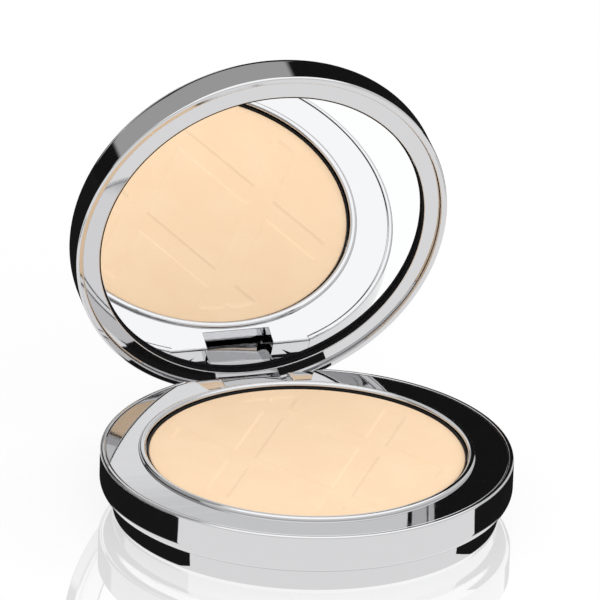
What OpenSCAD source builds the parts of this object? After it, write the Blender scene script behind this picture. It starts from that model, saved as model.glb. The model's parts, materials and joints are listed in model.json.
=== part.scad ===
// Round powder compact with a mirrored lid on a rear friction hinge.
// The origin is the centre of the underside, +Z is up and the hinge is at +Y.

/* [Base] */
// Diameter of the upper tier
base_d = 75; // [74:0.5:76]
// Height of the raised lip above the table
base_h = 11.6; // [11.4:0.1:12.2]
// Height of the lip above the deck
lip_h = 0.1; // [0.1:0.1:0.3]
// Diameter of the foot tier
foot_d = 70.1; // [69.6:0.1:70.6]
// Height of the foot tier
foot_h = 4.1; // [3.9:0.1:4.2]
// Radius of the shoulder that curves in to the foot
shoulder_r = 2.1; // [1.6:0.1:2.2]

/* [Powder] */
// Diameter of the pressed powder
powder_d = 57.5; // [55:0.5:57.5]
// Height of the powder's face above the table
powder_z = 11.1; // [10.9:0.1:11.3]
// Height of the pan's rim above the powder
pan_rise = 0.25; // [0.1:0.05:0.4]
// Width of the bead round the well
bead_w = 1.35; // [1.3:0.05:1.5]
// Height of the bead above the deck
bead_h = 0.65; // [0.5:0.05:0.7]

/* [Lid] */
// Diameter of the lid
lid_d = 70.4; // [70:0.1:70.6]
// Height of the lid from its rim to its top
lid_h = 7.3; // [7.1:0.1:8]
// Radius of the lid's outer top edge
lid_round = 2; // [1:0.1:2.2]
// Width of the shell's rim round the bezel
rim_w = 1.2; // [1.1:0.1:1.3]
// Diameter of the mirror recess
recess_d = 61.6; // [61.2:0.1:61.8]
// Depth of the bezel's inner edge behind the lid's rim
bezel_in = 0.2; // [0.1:0.05:0.4]
// Depth of the bezel's outer edge behind the lid's rim
bezel_out = 0.7; // [0.5:0.05:0.9]
// Depth of the mirror's face behind the lid's rim
mirror_z = 1.4; // [1.3:0.1:1.6]
// Thickness of the mirror
mirror_t = 1.5; // [1.2:0.1:1.6]
// Opening angle of the lid as stored
lid_angle = 77; // [0:1:110]

/* [Hinge] */
// Distance of the hinge axis behind the centre
hinge_y = 33.85; // [33.75:0.05:34]
// Height of the hinge axis above the table
hinge_z = 6.2; // [6.1:0.1:6.3]
// Diameter of the hinge pin
pin_d = 1.2; // [1:0.1:1.3]
// Length of the hinge pin
pin_len = 20; // [18:0.5:21]
// Width of the lid's knuckle
knuckle_w = 12.2; // [11:0.1:12.4]
// Half width of the flat across the rear of the upper tier
flat_half = 13.5; // [13.5:0.1:14]

/* [Hidden] */
$fn = 96;
eps = 0.01;
over = 1;
degrees = 180 / PI;

chrome = [0.80, 0.80, 0.82];
steel = [0.60, 0.61, 0.63];
lacquer = [0.05, 0.05, 0.06];
peach = [0.97, 0.83, 0.68];

// Base: radii and heights
base_r = base_d / 2;
foot_r = foot_d / 2;
deck_z = base_h - lip_h;
plate_t = 1.1;
lip_w = 0.85;
lip_gap = 0.15;
lip_round = 0.45;
shell_wall = 1.3;
shell_floor = 1.2;
shell_r = base_r - shell_wall;
seam = 0.05;
spigot_w = 1;
foot_wall = 2.55;
spigot_r = foot_r - 1.4;
spigot_z = foot_h + 1.9;
foot_floor = 1.2;
foot_round = 0.5;
rear_gap = 0.2;
flat_y = sqrt(base_r * base_r - flat_half * flat_half);
rear_a = asin(flat_half / base_r);

// Well, pan and powder
powder_r = powder_d / 2;
pan_wall = 0.3;
pan_r = powder_r + pan_wall;
bead_r = pan_r + 0.15;
skirt_w = 0.5;
skirt_len = 1.9;
well_r = bead_r + skirt_w + seam;
well_wall = 1;
well_floor = 5.6;
glue_z = well_floor + well_wall;
glue_t = 0.2;
glue_r = 20;
pan_z = glue_z + glue_t;

// Weight, magnets and label
weight_r = 24;
weight_t = 2;
magnet_y = -32.4;
base_magnet_r = 1.5;
lid_magnet_r = 1.15;
magnet_t = 2;
boss_wall = 0.6;
label_r = 15;
label_t = 0.15;
label_gap = 0.2;

// Lid, drawn closed and then turned open about the hinge
lid_gap = 0.2;
rim_z = deck_z + lid_gap;
lid_r = lid_d / 2;
lid_wall = 1.2;
top_z = rim_z + lid_h;
frame_r = lid_r - rim_w - seam;
recess_r = recess_d / 2;
mirror_front = rim_z + mirror_z;
mirror_back = mirror_front + mirror_t;
tape_t = 0.4;
liner_w = 0.15;
liner_r = recess_r - seam;
liner_z = rim_z + bezel_in + 0.1;
plate_z = mirror_back + tape_t;
frame_skirt = 1.1;
rim_round = 0.5;
edge_round = 0.15;

// Hinge
pin_r = pin_d / 2;
pin_clear = 0.05;
knuckle_r = 1.6;
ear_r = 1.5;
ear_half = pin_len / 2 + 0.5;
side_gap = 0.3;
notch_half = knuckle_w / 2 + side_gap;
notch_y = 31;
leg_front = hinge_y - 2.3;
leg_back = hinge_y + 0.5;
leg_round = 0.8;
leg_root = 0.2;
block_round = 0.5;
rail_y = 30.8;
rail_r = 34;

// Rectangle of a turned section, from radius r1 to r2 and height z1 to z2
module band(r1, r2, z1, z2) {
  translate([r1, z1])
    square([r2 - r1, z2 - z1]);
}

// What a radius of r takes off the corner at (x, y) that points to (sx, sy)
module corner(x, y, r, sx, sy) {
  difference() {
    translate([x + (sx > 0 ? -r : -eps), y + (sy > 0 ? -r : -eps)])
      square(r + eps);
    translate([x - sx * r, y - sy * r])
      circle(r);
  }
}

// Extrusion along X, centred, of a section drawn in Y and Z
module along_x(length) {
  translate([-length / 2, 0, 0])
    rotate([90, 0, 90])
      linear_extrude(length)
        children();
}

// Round bar along X on the hinge axis, from x1 to x2
module hinge_bar(r, x1, x2) {
  translate([x1, hinge_y, hinge_z])
    rotate([0, 90, 0])
      cylinder(r = r, h = x2 - x1);
}

// Turns the closed lid open about the hinge axis
module opened() {
  translate([0, hinge_y, hinge_z])
    rotate([-lid_angle, 0, 0])
      translate([0, -hinge_y, -hinge_z])
        children();
}

// Turned solid over all but the rear flat, its ends moved apart by a clearance
module open_ring(clear) {
  half = rear_a + degrees * clear / base_r;
  rotate([0, 0, 90 + half])
    rotate_extrude(angle = 360 - 2 * half)
      children();
}

module base_foot() {
  color(chrome)
    union() {
      rotate_extrude()
        difference() {
          union() {
            band(0, foot_r, 0, foot_floor);
            band(foot_r - foot_wall, foot_r, 0, foot_h);
          }
          corner(foot_r, 0, foot_round, 1, -1);
          band(-eps, label_r + label_gap, -over, label_t);
        }
      open_ring(rear_gap)
        band(spigot_r - spigot_w, spigot_r, foot_h - eps, spigot_z);
      rear_rail();
    }
}

// Solid rail that closes the hinge notch from below
module rear_rail() {
  intersection() {
    translate([-flat_half, rail_y, foot_floor - eps])
      cube([2 * flat_half, base_d, foot_h - foot_floor + eps]);
    cylinder(r = rail_r, h = base_h);
  }
}

module base_shell() {
  color(chrome)
    open_ring(0)
      difference() {
        union() {
          band(shell_r, base_r, foot_h, base_h);
          band(spigot_r + seam, base_r, foot_h, foot_h + shell_floor);
        }
        corner(base_r, foot_h, shoulder_r, 1, -1);
        corner(base_r, base_h, lip_round, 1, 1);
        corner(base_r - lip_w, base_h, edge_round, -1, 1);
        band(shell_r - over, base_r - lip_w, deck_z - plate_t, base_h + over);
      }
}

// Solid behind the well that fills the casing's opening and carries the hinge
module hinge_block() {
  half = rear_a - degrees * seam / base_r;
  rotate([0, 0, 90 - half])
    rotate_extrude(angle = 2 * half)
      difference() {
        band(well_r + well_wall / 2, base_r, foot_h, deck_z);
        corner(base_r, foot_h, shoulder_r, 1, -1);
      }
}

module deck_tray() {
  rotate_extrude()
    difference() {
      union() {
        band(well_r, base_r - lip_w - lip_gap, deck_z - plate_t, deck_z);
        band(well_r, well_r + well_wall, well_floor, deck_z);
        band(0, well_r + well_wall, well_floor, glue_z);
      }
      corner(base_r - lip_w - lip_gap, deck_z, edge_round, 1, 1);
    }
}

// The deck with its hinge block, cut to the rear flat
module flat_backed_deck() {
  difference() {
    union() {
      deck_tray();
      hinge_block();
    }
    translate([-base_r, flat_y, 0])
      cube([base_d, base_r, base_h]);
    along_x(base_d)
      corner(flat_y, deck_z, block_round, 1, 1);
  }
}

module base_deck() {
  color(chrome)
    difference() {
      union() {
        flat_backed_deck();
        hinge_bar(ear_r, -ear_half, ear_half);
        translate([0, magnet_y, deck_z - plate_t - magnet_t])
          cylinder(r = base_magnet_r + boss_wall, h = magnet_t + eps);
      }
      translate([0, magnet_y, deck_z - plate_t - magnet_t - over])
        cylinder(r = base_magnet_r + seam, h = magnet_t + over);
      translate([-notch_half, notch_y, foot_h - over])
        cube([2 * notch_half, base_r, base_h]);
      hinge_bar(pin_r, -flat_half - over, pin_len / 2);
    }
}

module well_ring() {
  color(chrome)
    rotate_extrude()
      difference() {
        union() {
          band(bead_r, bead_r + bead_w, deck_z, deck_z + bead_h);
          band(bead_r, bead_r + skirt_w, deck_z - skirt_len, deck_z + eps);
        }
        corner(bead_r, deck_z + bead_h, bead_h - seam, -1, 1);
        corner(bead_r + bead_w, deck_z + bead_h, bead_h - seam, 1, 1);
      }
}

module powder_pan() {
  color(lacquer)
    rotate_extrude() {
      band(0, pan_r, pan_z, pan_z + pan_wall);
      band(powder_r, pan_r, pan_z, powder_z + pan_rise);
    }
}

module powder_cake() {
  color(peach)
    rotate_extrude()
      difference() {
        band(0, powder_r - seam / 2, pan_z + pan_wall, powder_z);
        corner(powder_r - seam / 2, powder_z, edge_round, 1, 1);
      }
}

module pan_adhesive() {
  color("ivory")
    translate([0, 0, glue_z])
      cylinder(r = glue_r, h = glue_t);
}

module weight_plate() {
  color(steel)
    translate([0, 0, foot_floor])
      cylinder(r = weight_r, h = weight_t);
}

module base_magnet() {
  color(steel)
    translate([0, magnet_y, deck_z - plate_t - magnet_t])
      cylinder(r = base_magnet_r, h = magnet_t);
}

module hinge_pin() {
  color(steel)
    hinge_bar(pin_r, -pin_len / 2, pin_len / 2);
}

module bottom_label() {
  color("white")
    cylinder(r = label_r, h = label_t);
}

module lid_shell() {
  color(chrome)
    opened()
      rotate_extrude()
        difference() {
          union() {
            band(frame_r + seam, lid_r, rim_z, top_z);
            band(0, lid_r, top_z - lid_wall, top_z);
          }
          corner(lid_r, top_z, lid_round, 1, 1);
          corner(lid_r, rim_z, rim_round, 1, -1);
          corner(frame_r + seam, rim_z, edge_round, -1, -1);
        }
}

// Bezel, mirror tray and skirt, turned
module frame_turned() {
  rotate_extrude()
    difference() {
      union() {
        band(recess_r, frame_r, rim_z, plate_z);
        band(0, frame_r, plate_z, plate_z + lid_wall);
        band(frame_r - frame_skirt, frame_r, plate_z, top_z - lid_wall);
      }
      polygon([[recess_r - over, rim_z - over], [frame_r + over, rim_z - over],
               [frame_r + over, rim_z + bezel_out], [frame_r, rim_z + bezel_out],
               [recess_r, rim_z + bezel_in], [recess_r - over, rim_z + bezel_in]]);
    }
}

// Leg that reaches down into the notch, and the knuckle at its end
module hinge_leg() {
  along_x(knuckle_w)
    difference() {
      union() {
        translate([leg_front, hinge_z])
          square([leg_back - leg_front, rim_z - hinge_z]);
        translate([leg_front, hinge_z - knuckle_r])
          square([hinge_y - leg_front, knuckle_r + eps]);
        translate([hinge_y, hinge_z])
          circle(knuckle_r);
      }
      corner(leg_front, hinge_z - knuckle_r, leg_round, -1, -1);
    }
  intersection() {
    translate([-knuckle_w / 2, leg_front, rim_z - eps])
      cube([knuckle_w, base_r, bezel_out + leg_root]);
    cylinder(r = frame_r, h = top_z);
  }
}

module lid_frame() {
  color(chrome)
    opened()
      difference() {
        union() {
          frame_turned();
          hinge_leg();
        }
        translate([0, magnet_y, plate_z - magnet_t])
          cylinder(r = lid_magnet_r + seam, h = lid_h);
        hinge_bar(pin_r + pin_clear, -knuckle_w, knuckle_w);
      }
}

module mirror_glass() {
  color("lightblue")
    opened()
      translate([0, 0, mirror_front])
        cylinder(r = liner_r - liner_w - seam, h = mirror_t);
}

// Foam disc behind the mirror, with a thin black liner round the mirror's edge
module mirror_tape() {
  color(lacquer)
    opened()
      rotate_extrude() {
        band(0, liner_r, mirror_back, plate_z);
        band(liner_r - liner_w, liner_r, liner_z, plate_z);
      }
}

module lid_magnet() {
  color(steel)
    opened()
      translate([0, magnet_y, plate_z - magnet_t])
        cylinder(r = lid_magnet_r, h = magnet_t);
}

base_foot();
base_shell();
base_deck();
well_ring();
powder_pan();
powder_cake();
pan_adhesive();
weight_plate();
base_magnet();
hinge_pin();
bottom_label();
lid_shell();
lid_frame();
mirror_glass();
mirror_tape();
lid_magnet();
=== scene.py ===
import json
import math

import bmesh
import bpy
from mathutils import Matrix, Vector


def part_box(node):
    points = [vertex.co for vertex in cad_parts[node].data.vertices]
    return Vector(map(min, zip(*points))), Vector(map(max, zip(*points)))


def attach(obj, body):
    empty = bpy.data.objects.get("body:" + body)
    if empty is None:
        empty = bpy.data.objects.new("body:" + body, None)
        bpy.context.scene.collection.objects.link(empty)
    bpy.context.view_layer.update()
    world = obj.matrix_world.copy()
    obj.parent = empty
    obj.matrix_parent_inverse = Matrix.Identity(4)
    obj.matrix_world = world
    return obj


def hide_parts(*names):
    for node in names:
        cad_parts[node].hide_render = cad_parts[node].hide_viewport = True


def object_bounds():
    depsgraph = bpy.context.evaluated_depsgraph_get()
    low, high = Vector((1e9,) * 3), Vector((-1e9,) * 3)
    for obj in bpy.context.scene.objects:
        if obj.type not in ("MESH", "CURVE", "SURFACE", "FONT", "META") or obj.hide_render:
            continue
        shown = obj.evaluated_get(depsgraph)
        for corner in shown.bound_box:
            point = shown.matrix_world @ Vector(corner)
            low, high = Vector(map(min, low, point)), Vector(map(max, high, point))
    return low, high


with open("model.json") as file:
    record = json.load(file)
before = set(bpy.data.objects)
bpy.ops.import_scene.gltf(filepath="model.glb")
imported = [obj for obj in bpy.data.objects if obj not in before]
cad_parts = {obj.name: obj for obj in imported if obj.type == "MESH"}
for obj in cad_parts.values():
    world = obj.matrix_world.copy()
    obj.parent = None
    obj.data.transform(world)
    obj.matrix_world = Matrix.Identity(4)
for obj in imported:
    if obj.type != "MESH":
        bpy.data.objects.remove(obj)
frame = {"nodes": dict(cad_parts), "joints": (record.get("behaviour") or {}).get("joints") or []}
cad_low, cad_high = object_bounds()

# ---------------------------------------------------------------- sizes, in metres
MM = 0.001
SHARP_ANGLE = math.radians(38)

# How finely round shapes are cut: SEGMENTS go round a turned piece, and steps round an edge.
SEGMENTS = 288
POWDER_SEGMENTS = 512
POWDER_RINGS = 150
BAR_SEGMENTS = 72
ROUND_STEPS = 7
FINE_STEPS = 12
SMALL_STEPS = 6

# HOLD: the step from an arc's end to the next point. TOUCH: nearer than this is the same place.
# OVERLAP: how deep joined solids reach into each other. PAST: how far cutters reach past a face.
HOLD = 0.04 * MM
TOUCH = 0.001 * MM
OVERLAP = 0.2 * MM
PAST = 1.0 * MM

# Least cosine of half the turn at an inset corner, so that a sharp one doesn't run away
SHARPEST = 0.5

# What the record says about the hinge. The lid is drawn closed and then turned to rest.
LID_JOINT = frame["joints"][0]
HINGE = Vector(LID_JOINT["pos_m"])
REST_FROM_CLOSED = (
    Matrix.Translation(HINGE)
    @ Matrix.Rotation(-math.radians(LID_JOINT["range_deg"][0]), 4, Vector(LID_JOINT["axis"]))
    @ Matrix.Translation(-HINGE)
)
CLOSED_FROM_REST = REST_FROM_CLOSED.inverted()


def closed_box(node):
    """Lowest and highest corner of a lid node with the lid closed."""
    points = [CLOSED_FROM_REST @ v.co for v in frame["nodes"][node].data.vertices]
    return (
        Vector(min(p[i] for p in points) for i in range(3)),
        Vector(max(p[i] for p in points) for i in range(3)),
    )


shell_low, shell_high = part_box("base_shell")
ring_low, ring_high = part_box("well_ring")
pan_low, pan_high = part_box("powder_pan")
cake_low, cake_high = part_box("powder_cake")
label_low, label_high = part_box("bottom_label")
foot_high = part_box("base_foot")[1]
deck_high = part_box("base_deck")[1]
pin_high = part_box("hinge_pin")[1]
glue_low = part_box("pan_adhesive")[0]
cover_low, cover_high = closed_box("lid_shell")
frame_high = closed_box("lid_frame")[1]
glass_low, glass_high = closed_box("mirror_glass")
tape_low, tape_high = closed_box("mirror_tape")

# Base
BASE_R = shell_high.x
LIP_Z = shell_high.z
TIER_Z = shell_low.z
DECK_Z = deck_high.z
FOOT_R = foot_high.x
SEAM = 0.05 * MM
LIP_W = 0.85 * MM
LIP_GAP = 0.15 * MM
LIP_ROUND = 0.45 * MM
SHOULDER_R = 2.1 * MM
PLATE_T = 1.1 * MM
SHELL_WALL = 1.3 * MM
SHELL_FLOOR = 1.2 * MM
SPIGOT_R = FOOT_R - 1.4 * MM
SPIGOT_W = 1.0 * MM
FOOT_WALL = 2.55 * MM
FOOT_FLOOR = 1.2 * MM
FOOT_ROUND = 0.5 * MM
EDGE_ROUND = 0.15 * MM
REAR_GAP = 0.2 * MM
RAIL_Y = 30.8 * MM
RAIL_R = 34 * MM
LABEL_GAP = 0.2 * MM
LABEL_ROUND = 0.04 * MM
LABEL_RING_R = 13.6 * MM
DECK_R = BASE_R - LIP_W - LIP_GAP

# Well
BEAD_R = ring_high.x
BEAD_W = 1.35 * MM
BEAD_ROUND = 0.6 * MM
SKIRT_W = 0.5 * MM
WELL_R = BEAD_R - BEAD_W + SKIRT_W + SEAM
WELL_WALL = 1.0 * MM
WELL_FLOOR = glue_low.z - WELL_WALL
PAN_WALL = 0.3 * MM
PAN_ROUND = 0.1 * MM
PAN_HEEL = 0.2 * MM
CAKE_ROUND = 0.3 * MM

# Powder relief: a lattice of shallow, flat-bottomed bands
BAND_W = 4.4 * MM
BAND_PITCH = 21.0 * MM
BAND_DEPTH = 0.16 * MM
BAND_SOFT = 0.45 * MM
BAND_TILT = math.radians(32)
BAND_END_R = 25.6 * MM
BAND_FADE = 1.2 * MM

# Rear flat, notch and hinge
FLAT_HALF = 13.5 * MM
FLAT_Y = math.sqrt(BASE_R**2 - FLAT_HALF**2)
REAR_ANGLE = math.degrees(math.asin(FLAT_HALF / BASE_R))
BLOCK_ROUND = 0.5 * MM
KNUCKLE_W = 12.2 * MM
KNUCKLE_R = 1.6 * MM
NOTCH_HALF = KNUCKLE_W / 2 + 0.3 * MM
NOTCH_Y = 31.0 * MM
NOTCH_ROUND = 0.18 * MM
NOTCH_MOUTH = 3 * NOTCH_ROUND
EAR_R = 1.5 * MM
EAR_ROUND = 0.2 * MM
EAR_HALF = pin_high.x + 0.5 * MM
PIN_R = pin_high.z - HINGE.z
PIN_CLEAR = 0.05 * MM
LEG_FRONT = HINGE.y - 2.3 * MM
LEG_BACK = HINGE.y + 0.5 * MM
LEG_ROUND = 0.8 * MM
LEG_SIDE_ROUND = 0.25 * MM

# Lid
LID_R = cover_high.x
RIM_Z = cover_low.z
LID_TOP = cover_high.z
RIM_W = 1.2 * MM
RIM_ROUND = 0.5 * MM
LID_ROUND = 2.0 * MM
LID_WALL = 1.2 * MM
FRAME_R = frame_high.x
FRAME_SKIRT = 1.1 * MM
RECESS_R = tape_high.x + SEAM
LINER_W = 0.15 * MM
BEZEL_IN = 0.2 * MM
BEZEL_OUT = 0.7 * MM
LEG_TOP = RIM_Z + BEZEL_OUT + 0.2 * MM


# ---------------------------------------------------------------- mesh helpers
def quarter_round(radius, steps=SMALL_STEPS):
    """Points of a rounded edge, as distances in from one face and then from the other."""
    angles = [math.pi / 2 * k / steps for k in range(steps + 1)]
    return [(radius * (1 - math.cos(a)), radius * (1 - math.sin(a))) for a in angles]


def rounded(corners, steps=ROUND_STEPS):
    """Closed outline through corners (x, y, radius). A corner with a radius becomes an arc, and
    a point just beyond each end of the arc keeps the straights flat in shading."""
    points = []
    count = len(corners)
    for i, (x, y, radius) in enumerate(corners):
        here = Vector((x, y))
        if radius <= 0:
            points.append(here)
            continue
        before = (Vector(corners[i - 1][:2]) - here).normalized()
        after = (Vector(corners[(i + 1) % count][:2]) - here).normalized()
        half = before.angle(after) / 2
        reach = radius / math.tan(half)
        centre = here + (before + after).normalized() * radius / math.sin(half)
        first = here + before * reach - centre
        turn = first.angle_signed(here + after * reach - centre)
        points.append(here + before * (reach + HOLD))
        for k in range(steps + 1):
            spin = Matrix.Rotation(-turn * k / steps, 2)
            points.append(centre + spin @ first)
        points.append(here + after * (reach + HOLD))
    return [(p.x, p.y) for p in points]


def add_object(name, data):
    """New object in the scene, with its mesh, light or camera."""
    made = bpy.data.objects.new(name, data)
    bpy.context.scene.collection.objects.link(made)
    return made


def new_piece(name, bm):
    """Object with the mesh, its faces turned outwards."""
    bmesh.ops.recalc_face_normals(bm, faces=bm.faces)
    mesh = bpy.data.meshes.new(name)
    bm.to_mesh(mesh)
    bm.free()
    return add_object(name, mesh)


def lathe(name, outline, start=0.0, sweep=360.0, segments=SEGMENTS):
    """Closed solid turned about Z from a closed outline of (r, z), in degrees from +X."""
    full = sweep >= 360
    turns = max(6, round(segments * sweep / 360))
    angles = [math.radians(start + sweep * i / turns) for i in range(turns if full else turns + 1)]
    bm = bmesh.new()
    rings = []
    for r, z in outline:
        if r < TOUCH:
            ring = [bm.verts.new((0, 0, z))] * (turns + 1)
        else:
            ring = [bm.verts.new((r * math.cos(a), r * math.sin(a), z)) for a in angles]
        rings.append(ring + ring[:1] if full else ring)
    for k, low in enumerate(rings):
        high = rings[(k + 1) % len(rings)]
        for i in range(turns):
            corners = list(dict.fromkeys((low[i], low[i + 1], high[i + 1], high[i])))
            if len(corners) > 2:
                bm.faces.new(corners)
    if not full:
        bm.faces.new([ring[0] for ring in rings])
        bm.faces.new([ring[-1] for ring in reversed(rings)])
    return new_piece(name, bm)


def bar_x(name, radius, x1, x2, edge=0.0):
    """Round bar along X on the hinge axis."""
    outline = rounded([(0, x1, 0), (radius, x1, edge), (radius, x2, edge), (0, x2, 0)], steps=4)
    bar = lathe(name, outline, segments=BAR_SEGMENTS)
    turn = Matrix.Rotation(math.radians(90), 4, "Y")
    bar.data.transform(Matrix.Translation((0, HINGE.y, HINGE.z)) @ turn)
    return bar


def inset(outline, amount):
    """Outline moved inwards by an amount, for an outline that turns anticlockwise."""
    moved = []
    count = len(outline)
    for i in range(count):
        before = (Vector(outline[i]) - Vector(outline[i - 1])).normalized()
        after = (Vector(outline[(i + 1) % count]) - Vector(outline[i])).normalized()
        normals = Vector((-before.y, before.x)) + Vector((-after.y, after.x))
        normals.normalize()
        stretch = max(SHARPEST, normals.dot(Vector((-after.y, after.x))))
        moved.append(Vector(outline[i]) + normals * amount / stretch)
    return [(p.x, p.y) for p in moved]


def skin(name, sections):
    """Closed solid through a row of outlines that have the same number of points."""
    bm = bmesh.new()
    rings = [[bm.verts.new(point) for point in section] for section in sections]
    count = len(rings[0])
    for low, high in zip(rings, rings[1:]):
        for i in range(count):
            j = (i + 1) % count
            bm.faces.new((low[i], low[j], high[j], high[i]))
    bm.faces.new(list(reversed(rings[0])))
    bm.faces.new(rings[-1])
    return new_piece(name, bm)


def prism_x(name, outline, half, edge=0.0):
    """Solid along X, centred, from an anticlockwise outline of (y, z), with rounded ends."""
    ends = quarter_round(edge, steps=4) if edge else [(0.0, 0.0)]
    stations = [(-half + x, cut) for x, cut in ends]
    stations += [(-x, cut) for x, cut in reversed(stations)]
    return skin(name, [[(x, y, z) for y, z in inset(outline, cut)] for x, cut in stations])


def notch_cutter():
    """Block that cuts the hinge notch, flared at the deck so that its mouth has a round edge."""
    levels = [(TIER_Z - PAST, 0.0)]
    levels += [(DECK_Z - drop, flare) for flare, drop in quarter_round(NOTCH_ROUND, steps=5)]
    levels.append((DECK_Z + PAST, NOTCH_MOUTH))
    far = BASE_R + PAST
    sections = []
    for z, flare in levels:
        x, y = NOTCH_HALF + flare, NOTCH_Y - flare
        sections.append([(-x, y, z), (x, y, z), (x, far, z), (-x, far, z)])
    return skin("notch_cutter", sections)


def combine(piece, tool, operation):
    """Boolean of two closed solids; the tool is used up."""
    modifier = piece.modifiers.new("combine", "BOOLEAN")
    modifier.operation = operation
    modifier.solver = "EXACT"
    modifier.object = tool
    bpy.context.view_layer.update()
    evaluated = piece.evaluated_get(bpy.context.evaluated_depsgraph_get())
    mesh = bpy.data.meshes.new_from_object(evaluated)
    piece.modifiers.clear()
    piece.data = mesh
    bpy.data.objects.remove(tool)
    return piece


def shade(piece):
    """Merges doubled points, and shades smooth with split normals at the sharp edges."""
    bm = bmesh.new()
    bm.from_mesh(piece.data)
    bmesh.ops.remove_doubles(bm, verts=bm.verts, dist=TOUCH)
    bmesh.ops.recalc_face_normals(bm, faces=bm.faces)
    bm.to_mesh(piece.data)
    bm.free()
    piece.data.shade_smooth()
    piece.data.set_sharp_from_angle(angle=SHARP_ANGLE)
    return piece


def place(piece, body, node, material):
    """Shades a finished piece, gives it its material, ties it to its body and hides the CAD node
    it replaces.
    """
    shade(piece)
    piece.data.materials.clear()
    piece.data.materials.append(material)
    if body == "lid":
        piece.data.transform(REST_FROM_CLOSED)
    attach(piece, body)
    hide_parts(node)
    return piece


# ---------------------------------------------------------------- node helpers
def new_tree(name):
    """Material with an empty node tree."""
    material = bpy.data.materials.new(name)
    material.use_nodes = True
    material.node_tree.nodes.clear()
    return material, material.node_tree


def put(socket, value):
    """Sets an input to a number or colour, or links it to another node's output."""
    if isinstance(value, bpy.types.NodeSocket):
        socket.id_data.links.new(value, socket)
    else:
        socket.default_value = value


def calc(tree, operation, a, b=0.0):
    """Output of a Math node."""
    made = tree.nodes.new("ShaderNodeMath")
    made.operation = operation
    put(made.inputs[0], a)
    put(made.inputs[1], b)
    return made.outputs[0]


def ramp(tree, value, low, high, to_low=0.0, to_high=1.0, kind="SMOOTHSTEP"):
    """Output of a Map Range node."""
    made = tree.nodes.new("ShaderNodeMapRange")
    made.interpolation_type = kind
    put(made.inputs["Value"], value)
    put(made.inputs["From Min"], low)
    put(made.inputs["From Max"], high)
    put(made.inputs["To Min"], to_low)
    put(made.inputs["To Max"], to_high)
    return made.outputs["Result"]


def blend_colours(tree, factor, a, b):
    """Output of a colour Mix node."""
    made = tree.nodes.new("ShaderNodeMix")
    made.data_type = "RGBA"
    put(made.inputs[0], factor)
    put(made.inputs[6], a)
    put(made.inputs[7], b)
    return made.outputs[2]


def own_coordinates(tree, stretch=(1, 1, 1)):
    """The mesh's own coordinates in millimetres, stretched along the axes."""
    source = tree.nodes.new("ShaderNodeTexCoord")
    scale = tree.nodes.new("ShaderNodeVectorMath")
    scale.operation = "MULTIPLY"
    tree.links.new(source.outputs["Object"], scale.inputs[0])
    scale.inputs[1].default_value = [s / MM for s in stretch]
    return scale.outputs[0]


def noise(tree, where, scale, detail=3.0, roughness=0.55):
    """Output of a Noise node, with scale in features per millimetre."""
    made = tree.nodes.new("ShaderNodeTexNoise")
    tree.links.new(where, made.inputs["Vector"])
    made.inputs["Scale"].default_value = scale
    made.inputs["Detail"].default_value = detail
    made.inputs["Roughness"].default_value = roughness
    return made.outputs["Fac"]


def bump(tree, height, distance, strength):
    """Output of a Bump node; the distance is in metres."""
    made = tree.nodes.new("ShaderNodeBump")
    made.inputs["Distance"].default_value = distance
    made.inputs["Strength"].default_value = strength
    tree.links.new(height, made.inputs["Height"])
    return made.outputs["Normal"]


def shader(tree, kind, **inputs):
    """Output of a shader node; inputs are named with _ for a space."""
    made = tree.nodes.new(kind)
    for name, value in inputs.items():
        put(made.inputs[name.replace("_", " ")], value)
    return made.outputs[0]


def mix_shaders(tree, factor, a, b):
    """Output of a Mix Shader node."""
    made = tree.nodes.new("ShaderNodeMixShader")
    for socket, value in zip(made.inputs, (factor, a, b)):
        put(socket, value)
    return made.outputs[0]


def surface(tree, result):
    """Joins a shader to the material's output."""
    output = tree.nodes.new("ShaderNodeOutputMaterial")
    put(output.inputs["Surface"], result)


def principled(tree, **inputs):
    """Principled shader joined to the material's output."""
    surface(tree, shader(tree, "ShaderNodeBsdfPrincipled", **inputs))


# ---------------------------------------------------------------- materials
def polished_chrome():
    """Bright plating on plastic: nearly a mirror, with faint wipe marks and orange peel."""
    material, tree = new_tree("polished_chrome")
    where = own_coordinates(tree)
    wiped = noise(tree, own_coordinates(tree, (0.15, 1.6, 0.4)), 0.5, 4)
    peel = noise(tree, where, 0.22, 2)
    principled(
        tree,
        Base_Color=(0.665, 0.665, 0.675, 1),
        Metallic=1.0,
        Roughness=ramp(tree, wiped, 0.35, 0.75, 0.025, 0.055),
        Normal=bump(tree, peel, 0.004 * MM, 0.25),
    )
    return material


def silvered_glass():
    """Mirror: silvered glass with next to no haze."""
    material, tree = new_tree("silvered_glass")
    haze = noise(tree, own_coordinates(tree), 0.08, 3)
    principled(
        tree,
        Base_Color=(0.985, 0.988, 0.99, 1),
        Metallic=1.0,
        Roughness=ramp(tree, haze, 0.4, 0.8, 0.006, 0.014),
    )
    return material


def pressed_powder():
    """Matte face powder: pale peach with fine grains and slightly uneven pressing."""
    material, tree = new_tree("pressed_powder")
    where = own_coordinates(tree)
    grains = noise(tree, where, 5.5, 4, 0.7)
    clouds = noise(tree, where, 0.12, 2)
    base = blend_colours(
        tree, ramp(tree, clouds, 0.35, 0.65), (0.93, 0.645, 0.40, 1), (0.95, 0.68, 0.435, 1)
    )
    speckled = blend_colours(
        tree, ramp(tree, grains, 0.3, 0.75), base, (0.985, 0.755, 0.52, 1)
    )
    principled(
        tree,
        Base_Color=speckled,
        Roughness=ramp(tree, grains, 0.3, 0.7, 0.78, 0.92),
        Specular_IOR_Level=0.25,
        Sheen_Weight=0.12,
        Sheen_Roughness=0.5,
        Normal=bump(tree, grains, 0.03 * MM, 0.35),
    )
    return material


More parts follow.
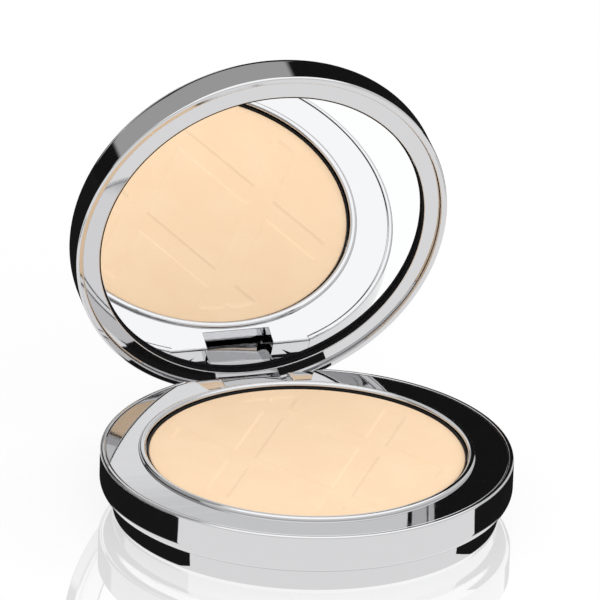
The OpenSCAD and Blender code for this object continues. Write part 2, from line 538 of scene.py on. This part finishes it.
def satin_metal(name, colour, roughness, stretch):
    """Metal with drawn or rolled marks along one direction."""
    material, tree = new_tree(name)
    lines = noise(tree, own_coordinates(tree, stretch), 1.5, 5, 0.6)
    dark = tuple(c * 0.86 for c in colour) + (1,)
    principled(
        tree,
        Base_Color=blend_colours(tree, ramp(tree, lines, 0.3, 0.7), dark, colour + (1,)),
        Metallic=1.0,
        Roughness=ramp(tree, lines, 0.3, 0.7, roughness * 0.8, roughness * 1.2),
        Normal=bump(tree, lines, 0.01 * MM, 0.3),
    )
    return material


def pan_painted_shade():
    """Aluminium pan coloured near-black as painted shade, for the dark ring between the bead and
    the powder; satin and faintly pitted.
    """
    material, tree = new_tree("pan_painted_shade")
    pits = noise(tree, own_coordinates(tree), 3.0, 4, 0.6)
    principled(
        tree,
        Base_Color=blend_colours(
            tree, ramp(tree, pits, 0.3, 0.7), (0.006, 0.006, 0.007, 1), (0.012, 0.012, 0.013, 1)
        ),
        Roughness=ramp(tree, pits, 0.3, 0.7, 0.42, 0.55),
        Specular_IOR_Level=0.12,
        Normal=bump(tree, pits, 0.01 * MM, 0.3),
    )
    return material


def paper_label():
    """Coated label stock: white fibres under a thin varnish, with a plain printed border ring."""
    material, tree = new_tree("paper_label")
    where = own_coordinates(tree)
    fibres = noise(tree, own_coordinates(tree, (1, 3, 1)), 2.2, 5, 0.7)
    length = tree.nodes.new("ShaderNodeVectorMath")
    length.operation = "LENGTH"
    tree.links.new(where, length.inputs[0])
    from_ring = calc(tree, "SUBTRACT", length.outputs["Value"], LABEL_RING_R / MM)
    border = calc(tree, "ABSOLUTE", from_ring)
    paper = blend_colours(
        tree, ramp(tree, fibres, 0.3, 0.7), (0.80, 0.80, 0.78, 1), (0.90, 0.90, 0.885, 1)
    )
    principled(
        tree,
        Base_Color=blend_colours(
            tree, ramp(tree, border, 0.1, 0.16), (0.28, 0.28, 0.30, 1), paper
        ),
        Roughness=ramp(tree, fibres, 0.3, 0.7, 0.42, 0.55),
        Coat_Weight=0.2,
        Coat_Roughness=0.25,
        Normal=bump(tree, fibres, 0.01 * MM, 0.3),
    )
    return material


def dried_glue():
    """Ivory pan adhesive, slightly translucent and uneven."""
    material, tree = new_tree("dried_glue")
    lumps = noise(tree, own_coordinates(tree), 0.6, 3)
    principled(
        tree,
        Base_Color=blend_colours(
            tree, ramp(tree, lumps, 0.3, 0.7), (0.74, 0.70, 0.57, 1), (0.84, 0.81, 0.70, 1)
        ),
        Roughness=ramp(tree, lumps, 0.3, 0.7, 0.35, 0.5),
        Subsurface_Weight=0.2,
        Subsurface_Scale=0.4 * MM,
        Normal=bump(tree, lumps, 0.05 * MM, 0.4),
    )
    return material


def foam_tape():
    """Dark closed-cell foam tape."""
    material, tree = new_tree("foam_tape")
    cells = tree.nodes.new("ShaderNodeTexVoronoi")
    tree.links.new(own_coordinates(tree), cells.inputs["Vector"])
    cells.inputs["Scale"].default_value = 3.0
    pores = cells.outputs["Distance"]
    principled(
        tree,
        Base_Color=blend_colours(
            tree, ramp(tree, pores, 0.1, 0.6), (0.010, 0.010, 0.011, 1), (0.005, 0.005, 0.006, 1)
        ),
        Roughness=ramp(tree, pores, 0.0, 0.6, 0.75, 0.95),
        Specular_IOR_Level=0.1,
        Normal=bump(tree, pores, 0.05 * MM, 0.6),
    )
    return material


# ---------------------------------------------------------------- base pieces
def foot_tier(material):
    """Lower tier: a shallow dish with a spigot for the case and a rail behind."""
    outline = rounded([
        (0, label_high.z, 0),
        (label_high.x + LABEL_GAP, label_high.z, 0),
        (label_high.x + LABEL_GAP, 0, 0),
        (FOOT_R, 0, FOOT_ROUND),
        (FOOT_R, TIER_Z, 0),
        (FOOT_R - FOOT_WALL, TIER_Z, 0),
        (FOOT_R - FOOT_WALL, FOOT_FLOOR, 0),
        (0, FOOT_FLOOR, 0),
    ])
    foot = lathe("foot_tier", outline)
    half = REAR_ANGLE + math.degrees(REAR_GAP / BASE_R)
    spigot = [
        (SPIGOT_R - SPIGOT_W, TIER_Z - OVERLAP),
        (SPIGOT_R, TIER_Z - OVERLAP),
        (SPIGOT_R, foot_high.z),
        (SPIGOT_R - SPIGOT_W, foot_high.z),
    ]
    combine(foot, lathe("spigot", spigot, 90 + half, 360 - 2 * half), "UNION")
    block = prism_x(
        "rail",
        [(RAIL_Y, FOOT_FLOOR - OVERLAP), (BASE_R, FOOT_FLOOR - OVERLAP),
         (BASE_R, TIER_Z), (RAIL_Y, TIER_Z)],
        FLAT_HALF,
    )
    disc = [(0, 0), (RAIL_R, 0), (RAIL_R, LIP_Z), (0, LIP_Z)]
    combine(block, lathe("rail_limit", disc), "INTERSECT")
    combine(foot, block, "UNION")
    return place(foot, "base", "base_foot", material)


def case_shell(material):
    """Upper tier: the ring-shaped casing, open over the rear flat."""
    outline = rounded([
        (SPIGOT_R + SEAM, TIER_Z, 0),
        (BASE_R, TIER_Z, SHOULDER_R),
        (BASE_R, LIP_Z, LIP_ROUND),
        (BASE_R - LIP_W, LIP_Z, EDGE_ROUND),
        (BASE_R - LIP_W, DECK_Z - PLATE_T, 0),
        (BASE_R - SHELL_WALL, DECK_Z - PLATE_T, 0),
        (BASE_R - SHELL_WALL, TIER_Z + SHELL_FLOOR, 0),
        (SPIGOT_R + SEAM, TIER_Z + SHELL_FLOOR, 0),
    ], steps=FINE_STEPS)
    shell = lathe("case_shell", outline, 90 + REAR_ANGLE, 360 - 2 * REAR_ANGLE)
    return place(shell, "base", "base_shell", material)


def rear_cutter():
    """What lies behind the rear flat, with the flat's round top edge."""
    edge = [(FLAT_Y - back, DECK_Z - drop) for back, drop in quarter_round(BLOCK_ROUND)]
    far = BASE_R + 2 * PAST
    outline = [(far, LIP_Z), (FLAT_Y - BLOCK_ROUND, LIP_Z)]
    outline += list(reversed(edge))
    outline += [(FLAT_Y, 0), (far, 0)]
    return prism_x("rear_cutter", outline, BASE_R)


def deck(material):
    """Inner tray: the flat deck, the powder well and the hinge block with its notch."""
    tray = rounded([
        (0, WELL_FLOOR, 0),
        (WELL_R + WELL_WALL, WELL_FLOOR, 0),
        (WELL_R + WELL_WALL, DECK_Z - PLATE_T, 0),
        (DECK_R, DECK_Z - PLATE_T, 0),
        (DECK_R, DECK_Z, EDGE_ROUND),
        (WELL_R, DECK_Z, 0),
        (WELL_R, glue_low.z, 0),
        (0, glue_low.z, 0),
    ])
    piece = lathe("deck", tray)
    half = REAR_ANGLE - math.degrees(SEAM / BASE_R)
    block = rounded([
        (WELL_R + WELL_WALL / 2, TIER_Z, 0),
        (BASE_R, TIER_Z, SHOULDER_R),
        (BASE_R, DECK_Z, 0),
        (WELL_R + WELL_WALL / 2, DECK_Z, 0),
    ], steps=FINE_STEPS)
    combine(piece, lathe("block", block, 90 - half, 2 * half), "UNION")
    combine(piece, rear_cutter(), "DIFFERENCE")
    combine(piece, bar_x("ears", EAR_R, -EAR_HALF, EAR_HALF, EAR_ROUND), "UNION")
    combine(piece, notch_cutter(), "DIFFERENCE")
    combine(piece, bar_x("bore", PIN_R, -FLAT_HALF - PAST, pin_high.x), "DIFFERENCE")
    return place(piece, "base", "base_deck", material)


def well_bead(material):
    """Raised bead round the well, with the skirt that presses into it."""
    inner = BEAD_R - BEAD_W
    outline = rounded([
        (inner, ring_low.z, 0),
        (inner + SKIRT_W, ring_low.z, 0),
        (inner + SKIRT_W, DECK_Z, 0),
        (BEAD_R, DECK_Z, 0),
        (BEAD_R, ring_high.z, BEAD_ROUND),
        (inner, ring_high.z, BEAD_ROUND),
    ], steps=FINE_STEPS)
    return place(lathe("well_bead", outline), "base", "well_ring", material)


def pan(material):
    """Shallow pressed pan, its rim just proud of the powder."""
    outline = rounded([
        (0, pan_low.z, 0),
        (pan_high.x, pan_low.z, PAN_HEEL),
        (pan_high.x, pan_high.z, PAN_ROUND),
        (pan_high.x - PAN_WALL, pan_high.z, PAN_ROUND),
        (pan_high.x - PAN_WALL, cake_low.z, 0),
        (0, cake_low.z, 0),
    ])
    return place(lathe("pan", outline), "base", "powder_pan", material)


def smooth_step(value):
    """0 to 1, with soft ends."""
    t = min(1.0, max(0.0, value))
    return t * t * (3 - 2 * t)


def relief(x, y):
    """Depth of the pressed lattice at a point of the powder's face."""
    deepest = 0.0
    for side in (-1, 1):
        across = x * math.cos(BAND_TILT) + side * y * math.sin(BAND_TILT)
        off = abs((across + BAND_PITCH) % BAND_PITCH - BAND_PITCH / 2)
        deepest = max(deepest, smooth_step((BAND_W / 2 + BAND_SOFT / 2 - off) / BAND_SOFT))
    fade = smooth_step((BAND_END_R - math.hypot(x, y)) / BAND_FADE)
    return BAND_DEPTH * deepest * fade


def powder(material):
    """Pressed cake, its face in fine rings that carry the relief."""
    face = cake_high.x - CAKE_ROUND - 2 * HOLD
    outline = [(face * k / POWDER_RINGS, cake_high.z) for k in range(POWDER_RINGS, -1, -1)]
    outline += [(0, cake_low.z), (cake_high.x, cake_low.z)]
    outline += [(cake_high.x - x, cake_high.z - drop) for x, drop in quarter_round(CAKE_ROUND)]
    piece = lathe("pressed_powder", outline, segments=POWDER_SEGMENTS)
    for v in piece.data.vertices:
        if v.co.z > cake_high.z - TOUCH:
            v.co.z -= relief(v.co.x, v.co.y)
    return place(piece, "base", "powder_cake", material)


def base_label(material):
    """Blank paper disc in the foot's recess."""
    outline = rounded([
        (0, label_low.z, 0),
        (label_high.x, label_low.z, LABEL_ROUND),
        (label_high.x, label_high.z, LABEL_ROUND),
        (0, label_high.z, 0),
    ], steps=3)
    return place(lathe("base_label", outline), "base", "bottom_label", material)


# ---------------------------------------------------------------- lid pieces, drawn closed
def lid_cover(material):
    """Outer cover of the lid, with its rounded edge."""
    inner = LID_R - RIM_W
    outline = rounded([
        (inner, RIM_Z, EDGE_ROUND),
        (LID_R, RIM_Z, RIM_ROUND),
        (LID_R, LID_TOP, LID_ROUND),
        (0, LID_TOP, 0),
        (0, LID_TOP - LID_WALL, 0),
        (inner, LID_TOP - LID_WALL, 0),
    ], steps=FINE_STEPS)
    return place(lathe("lid_cover", outline), "lid", "lid_shell", material)


def hinge_leg():
    """Leg from the lid's frame down into the notch, ending in the knuckle round the pin."""
    steps = 16
    last = math.acos((LEG_BACK - HINGE.y) / KNUCKLE_R)
    knuckle = []
    for k in range(steps + 1):
        a = -math.pi / 2 + (last + math.pi / 2) * k / steps
        knuckle.append((HINGE.y + KNUCKLE_R * math.cos(a), HINGE.z + KNUCKLE_R * math.sin(a)))
    foot = HINGE.z - KNUCKLE_R
    corner = [(LEG_FRONT + y, foot + rise) for y, rise in quarter_round(LEG_ROUND)]
    outline = [(LEG_FRONT, LEG_TOP)] + corner + knuckle + [(LEG_BACK, LEG_TOP)]
    leg = prism_x("hinge_leg", outline, KNUCKLE_W / 2, LEG_SIDE_ROUND)
    above = [(0, foot - PAST), (BASE_R + PAST, foot - PAST), (BASE_R + PAST, RIM_Z),
             (FRAME_R, RIM_Z), (FRAME_R, LID_TOP), (0, LID_TOP)]
    return combine(leg, lathe("leg_limit", above), "INTERSECT")


def mirror_bezel(material):
    """Sloping bezel with the mirror's recess, the hinge leg and its bore."""
    tray = tape_high.z
    outline = rounded([
        (FRAME_R, RIM_Z + BEZEL_OUT, EDGE_ROUND),
        (FRAME_R, LID_TOP - LID_WALL, 0),
        (FRAME_R - FRAME_SKIRT, LID_TOP - LID_WALL, 0),
        (FRAME_R - FRAME_SKIRT, tray + LID_WALL, 0),
        (0, tray + LID_WALL, 0),
        (0, tray, 0),
        (RECESS_R, tray, 0),
        (RECESS_R, RIM_Z + BEZEL_IN, EDGE_ROUND),
    ])
    piece = lathe("mirror_bezel", outline)
    combine(piece, hinge_leg(), "UNION")
    bore = bar_x("knuckle_bore", PIN_R + PIN_CLEAR, -KNUCKLE_W, KNUCKLE_W)
    combine(piece, bore, "DIFFERENCE")
    return place(piece, "lid", "lid_frame", material)


def mirror_plate(material):
    """Round mirror."""
    outline = rounded([
        (0, glass_low.z, 0),
        (glass_high.x, glass_low.z, EDGE_ROUND),
        (glass_high.x, glass_high.z, EDGE_ROUND),
        (0, glass_high.z, 0),
    ])
    return place(lathe("mirror_plate", outline), "lid", "mirror_glass", material)


def mirror_liner(material):
    """Foam disc behind the mirror, with the thin black liner round the mirror's edge."""
    inner = tape_high.x - LINER_W
    outline = rounded([
        (0, glass_high.z, 0),
        (inner, glass_high.z, 0),
        (inner, tape_low.z, LINER_W / 4),
        (tape_high.x, tape_low.z, LINER_W / 4),
        (tape_high.x, tape_high.z, 0),
        (0, tape_high.z, 0),
    ])
    return place(lathe("mirror_liner", outline), "lid", "mirror_tape", material)


# ---------------------------------------------------------------- studio
# What polished surfaces see round the object: (name, azimuth from and to, height from and to,
# brightness). Azimuth 0 is behind the object and 90 on its right; the height is above the
# horizon. Both are in degrees.
SURROUND = 0.98
REFLECTED_PANELS = [
    ("front_overhead", -181, 181, 40, 91, 1.75),
    ("rear_flag", -90, 42.5, -91, 62, 0.012),
    ("left_panel", -90, -27, 13, 62, 0.56),
    ("rear_panel", -30, 28, 36, 62, 0.56),
    ("rear_strip", -28, 9, -1, 13, 0.8),
]
PANEL_SOFT = 1.2
FILL = 1.18

# The table, and black cards on it that only reflections see: (name, x from and to, y from and
# to, steep), in millimetres. A card shows at a low angle, or at a steep one if steep is true.
TABLE_RADIUS = 3.0
TABLE_DROP = 0.02 * MM
TABLE_GREY = 0.22
TABLE_GLOW = 0.86
TABLE_GLOSS = 0.32
CARD_LIFT = 0.05 * MM
CARD_DARK = 0.012
CARD_TURN = (0.42, 0.50)
TABLE_CARDS = [
    ("left_card", -120, -30, -21.5, 32, False),
    ("right_card", 24, 120, -29.5, 14, False),
    ("rear_card", -3000, 3000, 85, 3100, False),
    ("under_lid_card", -26, 20, 27, 42, True),
]

# Lights that reflections don't see: (name, place, aim, size, power), in metres and watts
SOFT_LIGHTS = [
    ("key", (0.50, -0.15, 0.30), (0, 0, 0.01), 0.2, 0.7),
    ("front", (0.10, -0.75, 0.65), (0, 0, 0.02), 0.6, 1.2),
]


def window(tree, value, low, high, soft):
    """1 where the value is between low and high, with soft ends."""
    rise = ramp(tree, value, low - soft, low + soft)
    fall = ramp(tree, value, high - soft, high + soft, 1.0, 0.0)
    return calc(tree, "MULTIPLY", rise, fall)


def studio_world():
    """White backdrop, even white fill, and panels and flags that only reflections see."""
    world = bpy.data.worlds.new("studio")
    bpy.context.scene.world = world
    world.use_nodes = True
    tree = world.node_tree
    tree.nodes.clear()
    source = tree.nodes.new("ShaderNodeTexCoord")
    split = tree.nodes.new("ShaderNodeSeparateXYZ")
    tree.links.new(source.outputs["Generated"], split.inputs[0])
    x, y, z = split.outputs
    azimuth = calc(tree, "MULTIPLY", calc(tree, "ARCTAN2", x, y), math.degrees(1))
    height = calc(tree, "MULTIPLY", calc(tree, "ARCSINE", z), math.degrees(1))
    level = SURROUND
    for _, az1, az2, el1, el2, brightness in REFLECTED_PANELS:
        mask = calc(tree, "MULTIPLY", window(tree, azimuth, az1, az2, PANEL_SOFT),
                    window(tree, height, el1, el2, PANEL_SOFT))
        level = ramp(tree, mask, 0.0, 1.0, level, brightness, "LINEAR")
    path = tree.nodes.new("ShaderNodeLightPath")
    seen = ramp(tree, path.outputs["Is Glossy Ray"], 0, 1, FILL, level, "LINEAR")
    plain = calc(tree, "MAXIMUM", path.outputs["Is Camera Ray"],
                 path.outputs["Is Singular Ray"])
    strength = ramp(tree, plain, 0, 1, seen, 1.0, "LINEAR")
    output = tree.nodes.new("ShaderNodeOutputWorld")
    put(output.inputs["Surface"], shader(tree, "ShaderNodeBackground", Strength=strength))


def studio_floor():
    """Glossy white table under the object; reflections in the object see it as plain white."""
    bm = bmesh.new()
    bmesh.ops.create_circle(bm, cap_ends=True, segments=96, radius=TABLE_RADIUS)
    floor = new_piece("floor", bm)
    floor.location.z = cad_low.z - TABLE_DROP
    material, tree = new_tree("white_table")
    both = tree.nodes.new("ShaderNodeAddShader")
    put(both.inputs[0], shader(tree, "ShaderNodeBsdfDiffuse", Color=(TABLE_GREY,) * 3 + (1,)))
    put(both.inputs[1], shader(tree, "ShaderNodeEmission", Strength=TABLE_GLOW))
    gloss = shader(tree, "ShaderNodeBsdfGlossy", Color=(1, 1, 1, 1), Roughness=0.0)
    table = mix_shaders(tree, TABLE_GLOSS, both.outputs[0], gloss)
    plain = shader(tree, "ShaderNodeEmission")
    path = tree.nodes.new("ShaderNodeLightPath")
    surface(tree, mix_shaders(tree, path.outputs["Is Camera Ray"], plain, table))
    floor.data.materials.append(material)


def card_material(name, steep):
    """Black card that shows from above only, at either a low or a steep angle."""
    material, tree = new_tree(name)
    weight = tree.nodes.new("ShaderNodeLayerWeight")
    weight.inputs["Blend"].default_value = 0.5
    ends = (1.0, 0.0) if steep else (0.0, 1.0)
    angle = ramp(tree, weight.outputs["Facing"], *CARD_TURN, *ends)
    geometry = tree.nodes.new("ShaderNodeNewGeometry")
    above = calc(tree, "SUBTRACT", 1.0, geometry.outputs["Backfacing"])
    clear = shader(tree, "ShaderNodeBsdfTransparent")
    dark = shader(tree, "ShaderNodeEmission", Color=(1, 1, 1, 1), Strength=CARD_DARK)
    surface(tree, mix_shaders(tree, calc(tree, "MULTIPLY", angle, above), clear, dark))
    return material


def table_card(name, x1, x2, y1, y2, material):
    """Black card lying on the table, seen only in reflections."""
    mesh = bpy.data.meshes.new(name)
    corners = [(x1, y1), (x2, y1), (x2, y2), (x1, y2)]
    mesh.from_pydata([(x * MM, y * MM, 0) for x, y in corners], [], [range(4)])
    card = add_object(name, mesh)
    card.location.z = CARD_LIFT
    card.data.materials.append(material)
    card.visible_camera = False
    card.visible_diffuse = False
    card.visible_shadow = False
    card.visible_transmission = False


def soft_light(name, place_at, aim, size, power):
    """Square softbox that reflections don't show."""
    data = bpy.data.lights.new(name, "AREA")
    data.shape = "SQUARE"
    data.size = size
    data.energy = power
    light = add_object(name, data)
    light.location = place_at
    light.rotation_mode = "QUATERNION"
    light.rotation_quaternion = (Vector(aim) - Vector(place_at)).to_track_quat("-Z", "Y")
    light.visible_glossy = False
    light.visible_camera = False


# ---------------------------------------------------------------- camera
CAMERA_AZIMUTH = math.radians(-17.11)
CAMERA_ELEVATION = math.radians(23.04)
CAMERA_ROLL = math.radians(1.87)
CAMERA_DISTANCE = 1.368
CAMERA_TARGET = Vector((-2.28 * MM, 0, 41.36 * MM))
SENSOR = 36.0
LENS = 457.56
CLIP_START = 0.05
CLIP_END = 20.0


def camera():
    """Long lens at the photo's angle, aimed at CAMERA_TARGET."""
    level = math.cos(CAMERA_ELEVATION)
    back = Vector((
        math.sin(CAMERA_AZIMUTH) * level,
        -math.cos(CAMERA_AZIMUTH) * level,
        math.sin(CAMERA_ELEVATION),
    ))
    right = Vector((math.cos(CAMERA_AZIMUTH), math.sin(CAMERA_AZIMUTH), 0))
    up = back.cross(right)
    roll = Matrix.Rotation(CAMERA_ROLL, 3, back)
    data = bpy.data.cameras.new("camera")
    data.sensor_width = SENSOR
    data.lens = LENS
    data.clip_start = CLIP_START
    data.clip_end = CLIP_END
    made = add_object("camera", data)
    turned = Matrix((roll @ right, roll @ up, back)).transposed().to_4x4()
    turned.translation = CAMERA_TARGET + back * CAMERA_DISTANCE
    made.matrix_world = turned
    bpy.context.scene.camera = made


# ---------------------------------------------------------------- the compact
camera()
studio_world()
studio_floor()
card_materials = {False: card_material("low_card", False), True: card_material("steep_card", True)}
for name, x1, x2, y1, y2, steep in TABLE_CARDS:
    table_card(name, x1, x2, y1, y2, card_materials[steep])
for name, place_at, aim, size, power in SOFT_LIGHTS:
    soft_light(name, place_at, aim, size, power)
bpy.context.scene.view_settings.view_transform = "Standard"

chrome = polished_chrome()
foot_tier(chrome)
case_shell(chrome)
deck(chrome)
well_bead(chrome)
# The pan's near-black colour is painted shade for the dark ring between the bead and the powder.
pan(pan_painted_shade())
powder(pressed_powder())
base_label(paper_label())
lid_cover(chrome)
mirror_bezel(chrome)
mirror_plate(silvered_glass())
mirror_liner(foam_tape())

# The inner pieces, hidden but for the pin, keep their CAD meshes and take a material only.
steel = satin_metal("drawn_steel", (0.56, 0.57, 0.58), 0.35, (0.2, 2, 2))
nickel = satin_metal("nickel_plate", (0.66, 0.64, 0.60), 0.16, (1, 1, 1))
KEPT_NODES = {
    "pan_adhesive": dried_glue(),
    "weight_plate": steel,
    "base_magnet": nickel,
    "hinge_pin": steel,
    "lid_magnet": nickel,
}
for node, material in KEPT_NODES.items():
    kept = frame["nodes"][node]
    kept.data.materials.clear()
    kept.data.materials.append(material)
